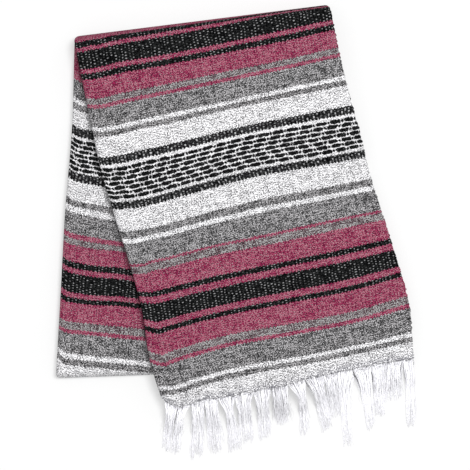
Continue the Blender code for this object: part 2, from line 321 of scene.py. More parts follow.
TOP_LINE, TOP_LINE_X = 284.35, -6.65


LIFT_ACROSS = np.array((0, 8, 16, 26, 45, 90, 180, 260, 315), float)
LIFT_DOWN = np.array((35, 72, 108, 150, 230, 290, 345, 400, 445), float)
LIFTS = np.array((
    # one row for each distance down, one column for each distance across, all in millimetres
    (7.5, 6.5, 7.0, 6.0, 6.5, 4.5, 1.5, 2.5, 1.0),
    (3.5, 2.0, 0.5, 0.5, 1.0, -0.5, -1.5, -3.0, -2.0),
    (4.5, 1.5, 0.5, 0.0, 0.5, 0.0, -0.5, -0.5, -0.5),
    (1.5, -1.0, -1.5, -2.5, -2.0, -2.0, -0.5, -2.0, -3.5),
    (0.5, -3.0, -3.5, -5.0, -5.5, -3.0, 0.5, -3.0, -4.5),
    (0.0, -2.0, -3.0, -1.5, -1.5, 0.5, -0.5, -0.5, -1.5),
    (2.5, -0.5, -3.0, -3.5, -2.5, -1.5, -2.0, -3.5, -2.0),
    (3.5, -2.0, -5.5, -3.5, -2.0, 1.0, -2.0, -3.5, 0.0),
    (-2.5, -2.5, -4.0, -4.0, -1.5, 0.5, -2.5, -4.5, -4.0),
))


def cell_of(at, places):
    """Which two places a value lies between, how far they are apart, and its share of the way."""
    start = np.clip(np.searchsorted(places, at, side="right") - 1, 0, len(places) - 2)
    gap = places[start + 1] - places[start]
    return start, gap, np.clip((at - places[start]) / gap, 0.0, 1.0)


def smooth_step(first, last, first_slope, last_slope, gap, t):
    """From one value to the next, keeping the slope at both (a Hermite curve)."""
    rising = first * (1 + 2 * t) + first_slope * gap * t
    falling = last * (3 - 2 * t) - last_slope * gap * (1 - t)
    return rising * (1 - t) ** 2 + falling * t**2


def front_lift(across, down):
    """How far the stripes of the front leg run above their straight line, in millimetres.
    They turn up round the side fold, sag beside it, and slope less near the top."""
    across, down = np.broadcast_arrays(across, down)
    row, row_gap, row_t = cell_of(down.ravel(), LIFT_DOWN)
    column, column_gap, column_t = cell_of(across.ravel(), LIFT_ACROSS)
    slope = np.gradient(LIFTS, LIFT_DOWN, axis=0)
    line = smooth_step(LIFTS[row], LIFTS[row + 1], slope[row], slope[row + 1],
                       row_gap[:, None], row_t[:, None])
    line_slope = np.gradient(line, LIFT_ACROSS, axis=1)
    point = np.arange(len(column))
    lift = smooth_step(line[point, column], line[point, column + 1], line_slope[point, column],
                       line_slope[point, column + 1], column_gap, column_t)
    return lift.reshape(across.shape)


def front_down(plan, across):
    """Distance along the warp of the front leg, in millimetres, at points of the plan."""
    x, y = plan[..., 0] / MM, plan[..., 1] / MM
    straight = ((TOP_LINE - y) + STRIPE_SLOPE * (x - TOP_LINE_X)) * STRIPE_ACROSS
    return straight + front_lift(across, straight)


# the back leg: its slope, and where that eases; the lift at the side fold, where it grows, and
# how far in it reaches; and the lift beside the front leg, across and down the leg
BACK_LINE, BACK_LINE_X = 284.35, -195.4
BACK_SLOPE, SLOPE_EASES = (0.19, 0.10), (330.0, 395.0)
FOLD_LIFT, FOLD_LIFT_MORE, FOLD_REACH = (3.5, 4.0), (395.0, 415.0), 6.0
SIDE_LIFT, SIDE_ACROSS, SIDE_STARTS, SIDE_ENDS = 4.0, (30.0, 80.0), (285.0, 310.0), (360.0, 400.0)


def back_down(plan, across):
    """The same for the back leg. Its stripes fall to the right, less so near the lower end. They
    turn up round the side fold and beside the front leg."""
    x, y = plan[..., 0] / MM, plan[..., 1] / MM
    level = BACK_LINE - y
    slope = BACK_SLOPE[0] + (BACK_SLOPE[1] - BACK_SLOPE[0]) * step_between(*SLOPE_EASES, level)
    at_fold = FOLD_LIFT[0] + FOLD_LIFT[1] * step_between(*FOLD_LIFT_MORE, level)
    at_fold = at_fold * np.exp(-((across / FOLD_REACH) ** 2))
    beside_front = SIDE_LIFT * step_between(*SIDE_ACROSS, across) * step_between(*SIDE_STARTS, level)
    beside_front = beside_front * (1 - step_between(*SIDE_ENDS, level))
    return level - slope * (x - BACK_LINE_X) + at_fold + beside_front


print("front stripes reach", round(FRONT_START + sum(w for _, w in FRONT_STRIPES)), "mm,",
      "back stripes", round(BACK_START + sum(w for _, w in BACK_STRIPES)), "mm")

# %% [markdown]
# Each sheet is one grid of points. Rows run across the leg and columns run along the warp, so
# the grid lines are thread directions. The first columns go round the side fold, the first rows
# go over the end fold, and a lip turns the raw edges down and under, which gives the cloth its
# 2.2 mm of thickness where that shows. A Solidify modifier would double every face for the
# same look.

# %% A sheet as a grid
# how far out and how far down each row of a turned edge lies, in millimetres
LIP = ((0.35, 0.5), (0.5, 1.1), (0.35, 1.7), (0.0, 2.2), (-5.0, 2.3))
FOLD_COLUMNS = 12
# how far the selvedge wanders over a length, in a broad and in a short wave
RAGGED_BROAD, RAGGED_SHORT = (0.5 * MM, 21 * MM), (0.35 * MM, 5 * MM)
RAGGED_FROM = 0.965


def fold_rows(table, curl, spacing, curl_rows):
    """Distances from the end fold to each row of points."""
    turns = np.linspace(0, math.pi / 2, curl_rows)
    over_fold = curl * (1 - np.cos(turns))
    length = leg_length(table)
    count = int((length - curl) / spacing)
    return np.concatenate((over_fold, np.linspace(curl, length, count + 1)[1:]))


def leg_sheet(table, base, curl, corner, curl_first, rows, across_shares, creases, down_of,
              edge_seed=1, has_hem=False):
    """Points and cloth places of the sheet that goes round a leg's folds and along its top."""
    left, across, width = rows_of(table, rows, curl_first)
    cut = corner * (1 - rounding(rows, corner))[:, None]
    rise = rounding(rows, curl)[:, None]
    tuck = math.pi / 2 + (SIDE_TUCK - math.pi / 2) * step_between(*TUCK_RISE, rise)

    turn = tuck * (1 - np.arange(FOLD_COLUMNS) / FOLD_COLUMNS)
    fold_in = SIDE_FOLD * (1 - np.sin(turn))
    fold_z = LEG - RIBBON / 2 * (1 - np.cos(turn))
    ragged = RAGGED_BROAD[0] * wander(rows, edge_seed, RAGGED_BROAD[1])
    ragged = ragged + RAGGED_SHORT[0] * wander(rows, edge_seed + 9, RAGGED_SHORT[1])
    flat_in = SIDE_FOLD + across_shares * (width - SIDE_FOLD)
    flat_in = flat_in + ragged[:, None] * step_between(RAGGED_FROM, 1.0, across_shares)
    shares = np.concatenate((np.zeros(FOLD_COLUMNS), across_shares))
    inward = np.hstack((fold_in, flat_in)) + cut - 2 * cut * shares
    height = np.hstack((fold_z, np.full(flat_in.shape, LEG)))
    selvedge = inward[:, -1:]
    for out, drop in LIP:
        inward = np.hstack((inward, selvedge + out * MM))
        height = np.hstack((height, np.full((len(rows), 1), LEG - drop * MM)))

    plan = left + across * inward[..., None]
    if has_hem:
        plan = hang_hem(plan, rows, hem_out(inward / width, 0.0))
    relief = crease_height(plan, creases)
    relief[:, :FOLD_COLUMNS] = 0.0
    z = FOLD_FOOT + (base(plan) + height + relief - FOLD_FOOT) * rise

    top = raised(plan, z)
    step_across = np.linalg.norm(np.diff(top, axis=1), axis=2)
    u = np.concatenate((np.zeros((len(rows), 1)), np.cumsum(step_across, axis=1)), axis=1)
    u = (u - u[:, FOLD_COLUMNS:FOLD_COLUMNS + 1]) / MM
    first_flat = int(np.argmax(rows >= curl))
    v = down_of(plan, np.maximum(inward, 0) / MM)
    step_down = np.linalg.norm(np.diff(top[: first_flat + 1], axis=0), axis=2)
    arc = np.cumsum(step_down[::-1], axis=0)[::-1] / MM
    toward_fold = -1.0 if curl_first else 1.0
    v[:first_flat] = v[first_flat] + toward_fold * arc
    return top, u, v


def hem_lip(top, u, v, downward):
    """Turns the lower edge of a sheet down and under."""
    edge, edge_u, edge_v = top[-1], u[-1], v[-1]
    for out, drop in LIP:
        row = edge.copy()
        row[:, :2] += downward * out * MM
        row[:, 2] -= drop * MM
        top = np.concatenate((top, row[None]), axis=0)
        u = np.concatenate((u, edge_u[None]), axis=0)
        v = np.concatenate((v, (edge_v + drop)[None]), axis=0)
    return top, u, v


def make_mesh(name, points, quads, material, **numbers):
    """A smooth mesh object in its place in the frame. Each further name is an attribute for the
    materials to read, with one number, or three, at each point."""
    mesh = bpy.data.meshes.new(name)
    mesh.from_pydata((points + (*MIDDLE_MOVED, 0.0)).tolist(), [], quads.tolist())
    for label, values in numbers.items():
        kind, field = ("FLOAT", "value") if values.ndim == 1 else ("FLOAT_VECTOR", "vector")
        made = mesh.attributes.new(label, kind, "POINT")
        made.data.foreach_set(field, values.astype(np.float32).ravel())
    mesh.shade_smooth()
    mesh.materials.append(material)
    obj = bpy.data.objects.new(name, mesh)
    scene.collection.objects.link(obj)
    print(name, "has", len(mesh.polygons) * 2, "triangles")
    return obj


def grid_quads(index):
    """The faces of a grid of numbered points."""
    corners = (index[:-1, :-1], index[1:, :-1], index[1:, 1:], index[:-1, 1:])
    return np.stack(corners, axis=2).reshape(-1, 4)


def make_grid(name, points, u, v, layer, material, **numbers):
    """A sheet from a grid of points, with its places in the cloth."""
    quads = grid_quads(np.arange(u.size).reshape(u.shape))
    place = np.stack((u, v, np.full(u.shape, float(layer))), axis=2)
    return make_mesh(name, points.reshape(-1, 3), quads, material,
                     cloth_place=place.reshape(-1, 3), **numbers)


# %% [markdown]
# Now the finish. Small helpers keep the node work short. One makes a node, feeds its inputs from
# numbers or from other sockets, and hands back its outputs. A socket that carries a number is
# wrapped, so that plain arithmetic on it lays the Math nodes and a formula reads as a formula.
# Every effect that the legs, the hidden sheets and the fringe share is built once as a node group.

# %% Helpers for nodes
VECTOR, FLOAT, COLOUR = "NodeSocketVector", "NodeSocketFloat", "NodeSocketColor"


class Number:
    """A socket that carries a number. Plain arithmetic on it lays a Math node."""

    def __init__(self, socket):
        self.socket = socket


def arithmetic(operation):
    return lambda *values: maths(operation, *values)


for sign, operation in (
    ("add", "ADD"), ("sub", "SUBTRACT"), ("mul", "MULTIPLY"), ("truediv", "DIVIDE"),
    ("pow", "POWER"), ("abs", "ABSOLUTE"), ("round", "ROUND"),
):
    setattr(Number, f"__{sign}__", arithmetic(operation))


def feed(socket, value):
    if isinstance(value, Number):
        value = value.socket
    if isinstance(value, bpy.types.NodeSocket):
        socket.id_data.links.new(value, socket)
    else:
        socket.default_value = value


def add(tree, kind, inputs=(), **settings):
    node = tree.nodes.new(kind)
    for key, value in settings.items():
        setattr(node, key, value)
    for socket, value in zip(node.inputs, inputs):
        if value is not None:
            feed(socket, value)
    return node.outputs


def maths(operation, *values):
    tree = next(value for value in values if isinstance(value, Number)).socket.id_data
    return Number(add(tree, "ShaderNodeMath", values, operation=operation)[0])


def blend_colour(share, first, second):
    node = share.socket.id_data.nodes.new("ShaderNodeMix")
    node.data_type = "RGBA"
    for number, value in ((0, share), (6, first), (7, second)):
        feed(node.inputs[number], value)
    return node.outputs[2]


def remap(value, low, high, to_low=0.0, to_high=1.0):
    """Carries a number smoothly from one range to another."""
    return Number(add(value.socket.id_data, "ShaderNodeMapRange", (value, low, high, to_low, to_high),
                      interpolation_type="SMOOTHSTEP")[0])


def stretched(vector, factors):
    """The same place in other measures, one factor for each direction."""
    return add(vector.id_data, "ShaderNodeVectorMath", (vector, factors), operation="MULTIPLY")[0]


def dimmed(colour, share):
    inputs = (colour, None, None, share)
    return add(colour.id_data, "ShaderNodeVectorMath", inputs, operation="SCALE")[0]


def parts_of(whole, kind="XYZ"):
    """The three numbers of a vector or a colour."""
    return [Number(part) for part in add(whole.id_data, "ShaderNodeSeparate" + kind, (whole,))]


def noise(place, scale, detail=2.0, roughness=0.6):
    """Smooth noise, as a number and as a colour."""
    value, colour = add(place.id_data, "ShaderNodeTexNoise", (place, None, scale, detail, roughness))
    return Number(value), colour


def attribute(tree, name):
    return add(tree, "ShaderNodeAttribute", attribute_name=name)


def bump(height, strength, distance):
    node = height.socket.id_data.nodes.new("ShaderNodeBump")
    for label, value in (("Strength", strength), ("Distance", distance), ("Height", height)):
        feed(node.inputs[label], value)
    return node.outputs[0]


def new_group(name, inputs, outputs):
    """An empty node group with named sockets, what comes into it and what goes out of it."""
    group = bpy.data.node_groups.new(name, "ShaderNodeTree")
    for label, kind, default in inputs:
        socket = group.interface.new_socket(label, in_out="INPUT", socket_type=kind)
        if default is not None:
            socket.default_value = default
    for label, kind in outputs:
        group.interface.new_socket(label, in_out="OUTPUT", socket_type=kind)
    return group, group.nodes.new("NodeGroupInput").outputs, group.nodes.new("NodeGroupOutput").inputs


def use_group(tree, group, **values):
    node = tree.nodes.new("ShaderNodeGroup")
    node.node_tree = group
    for label, value in values.items():
        feed(node.inputs[label.replace("_", " ")], value)
    return node.outputs


def new_material(name):
    """A material, its node tree, and the inputs of its shader."""
    material = bpy.data.materials.new(name)
    material.use_nodes = True
    return material, material.node_tree, material.node_tree.nodes["Principled BSDF"].inputs


print("node helpers ready")

# %% [markdown]
# The cloth is a weft-faced plain weave. Each pick of thick, soft yarn rises over one warp and
# dives under the next, and at each dive the thin warp peeks out as a tick. The ticks get one
# grey: in black cloth it is the warp, lighter than the weft, and in white cloth it is painted
# shade of the pit where the pick dives. Two cosines multiplied give that lattice of swells and
# dips without counting threads, and rounding the same two numbers names each swell and each
# tick, so that each can have a shade of its own. The fibres are short and mixed, so a fine
# noise, stretched a little along the yarn, does most of the speckle, and a slow one along the
# warp leaves duller and clearer streaks. The edge of a stripe swings by half a pick at each
# warp, as woven edges do.

# %% Woven yarn group
WARP_SPACING = 4.4
PICK_PITCH = 1.55
FLECKS_A_MM = (0.65, 0.90, 1.0)
STREAKS_A_MM = (0.20, 0.08, 1.0)
TEETH = 0.45
WARP_DRIFT, PICK_DRIFT, DRIFT_SCALE = 5.0, 4.0, 0.11
BEAD_WEIGHT, FIBRE_WEIGHT, STREAK_WEIGHT = 0.3, 0.7, 0.8

weave, weave_in, weave_out = new_group(
    "woven yarn",
    (("Place", VECTOR, None), ("Warp Spacing", FLOAT, WARP_SPACING),
     ("Pick Pitch", FLOAT, PICK_PITCH), ("Uneven", FLOAT, 0.3)),
    (("Relief", FLOAT), ("Warp Tick", FLOAT), ("Shade", FLOAT), ("Pick Place", FLOAT)),
)
cloth_spot = weave_in["Place"]
across_at, down_at, layer_at = parts_of(cloth_spot)
warp_drift, pick_drift, _ = parts_of(noise(cloth_spot, DRIFT_SCALE)[1], "Color")
uneven, pick_pitch = Number(weave_in["Uneven"]), Number(weave_in["Pick Pitch"])

warp_at = across_at / Number(weave_in["Warp Spacing"]) + (warp_drift - 0.5) * WARP_DRIFT * uneven
pick_at = down_at / pick_pitch + (pick_drift - 0.5) * PICK_DRIFT * uneven
wave_u = maths("COSINE", warp_at * math.pi)
wave_v = maths("COSINE", pick_at * math.pi)
swell = wave_u * wave_v
pick_number = round(pick_at)


def name_of_cell(offset, layer):
    """A random number for the swell (offset 0) or the tick (offset 1) at each place."""
    step = maths("MODULO", abs(pick_number) + offset, 2.0)
    cell = round((warp_at + step) * 0.5)
    key = add(weave, "ShaderNodeCombineXYZ", (cell, pick_number, layer_at + layer))[0]
    return Number(add(weave, "ShaderNodeTexWhiteNoise", (key,))[0])


bead_shade = name_of_cell(0.0, 0.5)
tick_luck = name_of_cell(1.0, 40.5)
fibre = remap(noise(stretched(cloth_spot, FLECKS_A_MM), 1.0, 1.0)[0], 0.37, 0.63)
streak = noise(stretched(cloth_spot, STREAKS_A_MM), 1.0)[0]
shade = bead_shade * BEAD_WEIGHT + fibre * FIBRE_WEIGHT + (streak - 0.5) * STREAK_WEIGHT
tick = remap(swell * -1.0 * abs(wave_u) ** 3.0, 0.20, 0.62) * remap(tick_luck, 0.0, 0.9)
high = maths("MAXIMUM", swell, 0.0) ** 0.6
relief = high * 0.7 + (tick * 0.15 + 0.2) + fibre * 0.2
toothed = round(maths("COSINE", warp_at * math.tau) * TEETH + pick_at)
for label, value in (("Relief", relief), ("Warp Tick", tick), ("Shade", shade),
                     ("Pick Place", toothed * pick_pitch)):
    feed(weave_out[label], value)
print("woven yarn group has", len(weave.nodes), "nodes")

# %% [markdown]
# The yarn is spun from shredded textiles, so no stripe is one colour: grey is salt and pepper,
# pink has pale and dark flecks. A group takes a dark, a body and a light colour and lets the
# shade of each swell choose between them.

# %% Heather group
heather, heather_in, heather_out = new_group(
    "heathered colour",
    (("Dark", COLOUR, None), ("Body", COLOUR, None), ("Light", COLOUR, None), ("Shade", FLOAT, 0.5)),
    (("Color", COLOUR),),
)
heather_shade = Number(heather_in["Shade"])
to_body, to_light = remap(heather_shade, 0.26, 0.46), remap(heather_shade, 0.58, 0.80)
darker = blend_colour(to_body, heather_in["Dark"], heather_in["Body"])
feed(heather_out["Color"], blend_colour(to_light, darker, heather_in["Light"]))
print("heather group has", len(heather.nodes), "nodes")

# %% [markdown]
# The ornament is a traditional chevron of floats: seven rows of black dashes, each three warps
# long, with one warp between them that holds a small black bead. Each row starts one warp
# further than the row nearer the middle, so the gaps draw arrowheads. The whole of it follows
# from a row number and a position in a repeat of four warps. The black borders on both sides
# are beaten in with thicker yarn, so the warp shows there as larger and paler ticks.

# %% Dash ornament group
DASH_ROWS = 7
DASH_PITCH = 5.6
TRACE_ROW = 3.62
REPEAT = 4.0
ROW_BEND, ROW_FRAY, DASH_BEND, ROW_SLIP, FATTER = 0.55, 0.42, 1.6, 0.4, 0.35
SOFT_EDGE = -0.03, 0.06

dashes, dashes_in, dashes_out = new_group(
    "dash ornament",
    (("Place", VECTOR, None), ("Middle", FLOAT, 0.0), ("Row Pitch", FLOAT, DASH_PITCH),
     ("Warp Spacing", FLOAT, WARP_SPACING)),
    (("Dash", FLOAT),),
)
across_at, down_at, _ = parts_of(dashes_in["Place"])
row_bend, dash_bend, fat_luck = parts_of(noise(dashes_in["Place"], 0.16)[1], "Color")
frayed = noise(dashes_in["Place"], 0.55, 1.0, 0.5)[0]
row_at = (down_at - Number(dashes_in["Middle"])) / Number(dashes_in["Row Pitch"])
row_at = row_at + (row_bend - 0.5) * ROW_BEND + (frayed - 0.5) * ROW_FRAY
row = round(row_at)
in_row, rows_out = abs(row_at - row), abs(row)
row_luck = Number(add(dashes, "ShaderNodeTexWhiteNoise", (None, row), noise_dimensions="1D")[0])
warps = across_at / Number(dashes_in["Warp Spacing"]) - rows_out
warps = warps + row_luck * ROW_SLIP + (dash_bend - 0.5) * DASH_BEND
in_repeat = maths("FRACT", warps * (1 / REPEAT)) * REPEAT


def lens_shape(centre, half_long, half_high, roundness):
    """1 inside a flattened oval of the repeat, softly 0 outside."""
    away = abs((in_repeat - centre) / half_long)
    hollow = maths("SUBTRACT", 1.0, away**roundness)
    reach = maths("SQRT", maths("MAXIMUM", hollow, 0.0)) * half_high
    reach = reach * ((fat_luck - 0.5) * FATTER) + reach
    return remap(reach - in_row, *SOFT_EDGE)


marks = maths("MAXIMUM", lens_shape(1.5, 1.53, 0.44, 6.0), lens_shape(3.5, 0.42, 0.34, 2.5))
marks = marks * maths("LESS_THAN", rows_out, DASH_ROWS / 2)
over_warp = maths("COSINE", warps * math.tau)
trace = remap(abs(row_at - TRACE_ROW), 0.16, 0.08) * remap(over_warp, -0.2, 0.7, 0.0, 0.5)
feed(dashes_out["Dash"], maths("MAXIMUM", marks, trace))
print("dash ornament group has", len(dashes.nodes), "nodes")

# %% [markdown]
# The stripes are looked up in colour ramps with hard steps. Blender reads a ramp from a table of
# 256 colours, so one ramp along the whole leg would move the edge of a thin stripe by up to two
# millimetres. Short ramps of eight stripes each are laid end to end instead. Three are needed at
# each place, for the dark, body and light colour of the yarn there. Reading them at the number of
# the pick, and not at the bare distance, makes every border follow a thread.

# %% Yarns and the stripe lookup
YARNS = {
    # dark, body and light colour (linear), and how strongly the grey ticks show, which are the warp
    # in dark yarns and painted pit shade in pale ones
    "pink": ((0.072, 0.009, 0.026), (0.275, 0.015, 0.070), (0.34, 0.155, 0.19), 0.45),
    "black": ((0.0013, 0.0013, 0.0016), (0.0025, 0.0025, 0.0028), (0.016, 0.017, 0.017), 0.90),
    "border": ((0.0013, 0.0013, 0.0016), (0.0025, 0.0025, 0.0028), (0.040, 0.040, 0.042), 1.00),
    "grey": ((0.011, 0.011, 0.012), (0.085, 0.083, 0.085), (0.42, 0.41, 0.42), 0.50),
    "silver": ((0.028, 0.015, 0.019), (0.126, 0.082, 0.095), (0.36, 0.37, 0.365), 0.50),
    "white": ((0.10, 0.098, 0.103), (0.70, 0.695, 0.71), (0.82, 0.815, 0.83), 0.85),
    "ornament": ((0.30, 0.295, 0.305), (0.72, 0.715, 0.73), (0.80, 0.795, 0.81), 0.50),
}
MOST_STOPS = 8
# One grey for the ticks: on dark yarns it is the paler warp, on pale yarns it is painted shade of the
# pit where the pick dives.
WARP_AND_PIT_SHADE_GREY = (0.28, 0.28, 0.285, 1.0)
WARP_WHITE = (0.62, 0.62, 0.63, 1.0)
BORDER_PICK, BORDER_SPECKS = 3.3, 0.52
# Dark grey of the specks near the hem of the cloth and on the first millimetres of the fringe yarns.
ROOT_GREY = (0.165, 0.163, 0.185, 1.0)


def stripe_colour(down, stripes, start, tone):
    """The dark (0), body (1) or light (2) colour of the yarn at this distance along the warp, and
    how strongly the grey ticks show there, which the ramps hold as alpha. The ticks are the warp in
    dark yarns and painted shade of the pits in pale ones."""
    found, warp_and_pit_share = None, None
    for first in range(0, len(stripes), MOST_STOPS):
        some = stripes[first:first + MOST_STOPS]
        begin = start + sum(width for _, width in stripes[:first])
        length = sum(width for _, width in some)
        ramp = down.socket.id_data.nodes.new("ShaderNodeValToRGB")
        ramp.color_ramp.interpolation = "CONSTANT"
        stops = ramp.color_ramp.elements
        place = 0.0
        for number, (yarn, width) in enumerate(some):
            stop = stops[number] if number < len(stops) else stops.new(min(place / length, 0.9999))
            stop.position = place / length
            stop.color = (*YARNS[yarn][tone], YARNS[yarn][3])
            place += width
        feed(ramp.inputs[0], (down - begin) / length)
        colour, shows = ramp.outputs[0], Number(ramp.outputs[1])
        if found is None:
            found, warp_and_pit_share = colour, shows
        else:
            after = maths("GREATER_THAN", down, begin)
            found = blend_colour(after, found, colour)
            warp_and_pit_share = (shows - warp_and_pit_share) * after + warp_and_pit_share
    return found, warp_and_pit_share


def band_middle(stripes, start, yarn):
    """Where the middle of the band of this yarn lies."""
    place = start
    for name, width in stripes:
        if name == yarn:
            return place + width / 2
        place += width


ornament_at = band_middle(FRONT_STRIPES, FRONT_START, "ornament")
print("ornament of the front leg at", round(ornament_at), "mm")

# %% Woven cloth material
ORNAMENT_UP = -0.8
UNDER_DASH = 0.35
CLOTH_SPECULAR, CLOTH_BUMP, CLOTH_BUMP_DEPTH = 0.02, 0.9, 0.45 * MM


def cloth_material(name, stripes, start):
    """Striped, heathered, weft-faced cloth. Its attribute says where each point is in the cloth."""
    material, tree, shader = new_material(name)
    place = attribute(tree, "cloth_place")["Vector"]
    relief, tick, shade, down = (Number(socket) for socket in use_group(tree, weave, Place=place))
    thick_yarn = use_group(tree, weave, Place=place, Pick_Pitch=BORDER_PICK)
    middle = band_middle(stripes, start, "ornament") - ORNAMENT_UP
    dash = Number(use_group(tree, dashes, Place=place, Middle=middle)["Dash"])
    shades = []
    for tone in range(3):
        colour, warp_and_pit_share = stripe_colour(down, stripes, start, tone)
        shades.append(blend_colour(dash, colour, (*YARNS["black"][tone], 1)))
    yarn = use_group(tree, heather, Dark=shades[0], Body=shades[1], Light=shades[2], Shade=shade)
    # Warp and painted shade: the grey ticks lighten dark yarns as the warp does and darken pale ones
    # as shade in the pits; they are weaker under a dash.
    shown = tick * warp_and_pit_share * remap(dash, 0.0, 1.0, 1.0, UNDER_DASH)
    colour = blend_colour(shown, yarn["Color"], WARP_AND_PIT_SHADE_GREY)
    in_border = remap(warp_and_pit_share, 0.92, 1.0) * BORDER_SPECKS
    colour = blend_colour(Number(thick_yarn["Warp Tick"]) * in_border, colour, WARP_WHITE)
    # Dark grey specks, scattered by noise, in the last millimetres of the cloth before the hem.
    dark_specks = remap(noise(place, 0.13)[0] * shade, 0.36, 0.22)
    colour = blend_colour(Number(attribute(tree, "at_hem")["Fac"]) * dark_specks, colour, ROOT_GREY)
    # Painted shade: the colour darkens to 60 % in the dips between the swells of the weave.
    feed(shader["Base Color"], dimmed(colour, remap(relief, 0.12, 0.6, 0.6, 1.0)))
    feed(shader["Roughness"], remap(relief, 0.1, 1.0, 1.0, 0.86))
    shader["Specular IOR Level"].default_value = CLOTH_SPECULAR
    feed(shader["Normal"], bump(relief, CLOTH_BUMP, CLOTH_BUMP_DEPTH))
    return material


front_cloth = cloth_material("serape cloth, front leg", FRONT_STRIPES, FRONT_START)
back_cloth = cloth_material("serape cloth, back leg", BACK_STRIPES, BACK_START)
print("cloth materials:", front_cloth.name, "and", back_cloth.name)

# %% [markdown]
# The front leg's outer sheet is what the picture shows most of. It gets a point every 1.5 mm
# across and every 1.25 mm down, fine enough for creases, the side fold and the ragged selvedge,
# and the weave between is bump.

# %% Front leg, outer sheet
ACROSS_SPACING, DOWN_SPACING = 1.5 * MM, 1.25 * MM
LEG_WIDTH = 310 * MM

front_shares = np.linspace(0, 1, int(LEG_WIDTH / ACROSS_SPACING))
front_rows = fold_rows(FRONT_LEG, TOP_FOLD, DOWN_SPACING, 16)
HEM_SPECK_REACH = 9.0

front_top, front_u, front_v = leg_sheet(
    FRONT_LEG, under_front, TOP_FOLD, TOP_CORNER, True, front_rows, front_shares,
    FRONT_CREASES, front_down, has_hem=True)
to_hem = (front_top[-1, :, :2] - front_top[..., :2]) @ hem_down / MM
front_top, front_u, front_v = hem_lip(front_top, front_u, front_v, hem_down)
# 1 at the hem, falling to 0 over 9 mm inside it: where the cloth gets dark grey specks.
at_hem = np.ones(front_u.shape)
at_hem[: len(to_hem)] = 1 - np.clip(to_hem / HEM_SPECK_REACH, 0.0, 1.0)
serape_front = make_grid("serape_front", front_top, front_u, front_v, 0, front_cloth,
                         at_hem=at_hem.ravel())

# %% [markdown]
# The back leg's outer sheet shows only as a strip to the left, so its points are close there and
# far apart where the front leg covers it.

# %% Back leg, outer sheet
SHOWN_SHARE = 0.36
back_shares = np.concatenate((
    np.linspace(0, SHOWN_SHARE, int(LEG_WIDTH * SHOWN_SHARE / ACROSS_SPACING)),
    np.linspace(SHOWN_SHARE, 1, 26)[1:],
))
back_rows = fold_rows(BACK_LEG, END_FOLD, DOWN_SPACING, 14)
back_top, back_u, back_v = leg_sheet(
    BACK_LEG, on_table, END_FOLD, END_CORNER, False, back_rows, back_shares,
    BACK_CREASES, back_down, edge_seed=31)
serape_back = make_grid("serape_back", back_top, back_u, back_v, 3, back_cloth)

# %% [markdown]
# Under each outer sheet lie the other sheets of the leg. Only their edges show, so they are one
# closed body whose sides follow the sheets: two selvedges, a fold, the gap between the ribbons,
# and the same again. Its profile is the table of the solid, and every sheet wanders a little on
# its own.

# %% Hidden sheets
SHEETS = (
    # height, left, right, hem
    (0.0, 4.5, 1.6, 1.6),
    (1.0, 1.7, 0.2, 0.3),
    (1.8, 0.8, 0.6, 0.7),
    (2.1, 0.6, 2.4, 2.4),
    (2.5, 0.4, 0.6, 0.7),
    (3.6, 0.0, 0.7, 0.7),
    (4.0, 0.0, 2.8, 2.6),
    (4.6, 0.1, 0.9, 0.9),
    (6.0, 0.7, 0.1, 0.2),
    (7.4, 2.3, 0.9, 0.9),
    (7.8, 4.6, 3.2, 3.0),
    (7.9, 6.4, 3.3, 3.1),
    (8.6, 6.4, 0.9, 1.1),
    (10.0, 6.4, 0.1, 0.4),
    (10.6, 6.3, 0.5, 0.7),
    (10.8, 4.8, 0.6, 0.8),
    (11.6, 3.0, 1.2, 1.2),
    (12.0, 2.8, 2.8, 2.6),
    (12.4, 3.0, 0.8, 0.9),
    (13.5, 5.2, 0.6, 0.8),
)
SLITS = (2.1, 4.0, 7.85, 12.0)
SQUEEZE_IN = 4.0 * MM
BETWEEN_RIBBONS = 7.85
HIDDEN_SHARES = np.concatenate((
    np.linspace(0.0, 0.06, 5),
    np.linspace(0.06, 0.94, 40)[1:],
    np.linspace(0.94, 1.0, 6)[1:],
))
HIDDEN_SPACING, HIDDEN_CURL_ROWS, LEVEL_SPACING = 2.4 * MM, 18, 0.45
# how far a sheet's edge wanders, and over what lengths: at the side, broadly inward, at the hem
LOOSE, LOOSE_WAVES = 0.5 * MM, (17 * MM, 60 * MM, 30 * MM)


def fine_profile():
    """The sheets' profile with extra heights in the broad rows, so their edges look round."""
    table = np.array(SHEETS)
    heights = [table[0, 0]]
    for low, high in zip(table[:-1, 0], table[1:, 0]):
        steps = max(1, round((high - low) / LEVEL_SPACING))
        heights += list(low + (high - low) * (np.arange(steps) + 1) / steps)
    heights = np.array(heights)
    return heights, [np.interp(heights, table[:, 0], table[:, i]) for i in (1, 2, 3)]


